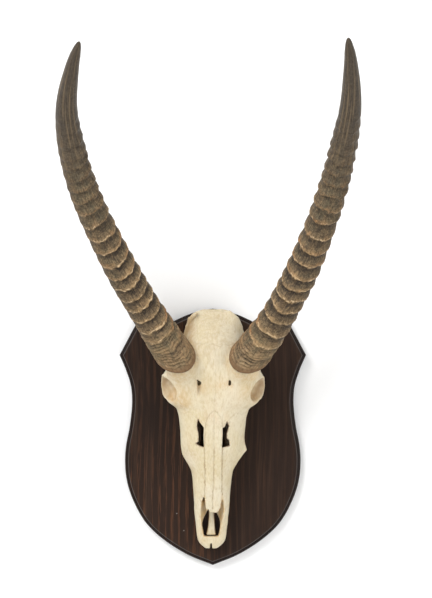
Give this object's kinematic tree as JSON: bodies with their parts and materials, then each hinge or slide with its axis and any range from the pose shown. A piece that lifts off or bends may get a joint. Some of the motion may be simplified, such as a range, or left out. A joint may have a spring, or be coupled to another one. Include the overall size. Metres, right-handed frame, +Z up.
{
  "type": "antelope skull and horns wall trophy on shield plaque",
  "caption": "Antelope skull with a pair of tall ringed horns, fixed face forward on a dark wooden shield that hangs on a wall as a trophy.",
  "frame": {"origin": "middle of the shield's height and width, on its flat back face, where it lies against the wall", "axes": "+Z up along the shield and the horns, +Y out of the shield's back into the wall, the skull looks along -Y"},
  "size_m": [0.4388, 0.3559, 0.7774],
  "materials": {
    "stained_wood": "dark brown stain under satin varnish",
    "bone": "dry cleaned bone, matt, cream with yellow stains",
    "tooth_enamel": "worn enamel, satin",
    "horn_keratin": "ringed horn, fibrous, semi matt",
    "plated_steel": "zinc plated, slightly dull"
  },
  "bodies": {
    "root": {"shield_board": "stained_wood", "hanger_plate": "plated_steel", "hanger_screw_1": "plated_steel", "hanger_screw_2": "plated_steel", "skull": "bone", "left_tooth_1": "tooth_enamel", "left_tooth_2": "tooth_enamel", "left_tooth_3": "tooth_enamel", "left_tooth_4": "tooth_enamel", "left_tooth_5": "tooth_enamel", "left_tooth_6": "tooth_enamel", "right_tooth_1": "tooth_enamel", "right_tooth_2": "tooth_enamel", "right_tooth_3": "tooth_enamel", "right_tooth_4": "tooth_enamel", "right_tooth_5": "tooth_enamel", "right_tooth_6": "tooth_enamel", "skull_screw_1": "plated_steel", "skull_screw_2": "plated_steel", "skull_screw_3": "plated_steel", "left_horn": "horn_keratin", "right_horn": "horn_keratin"}
  },
  "joints": []
}
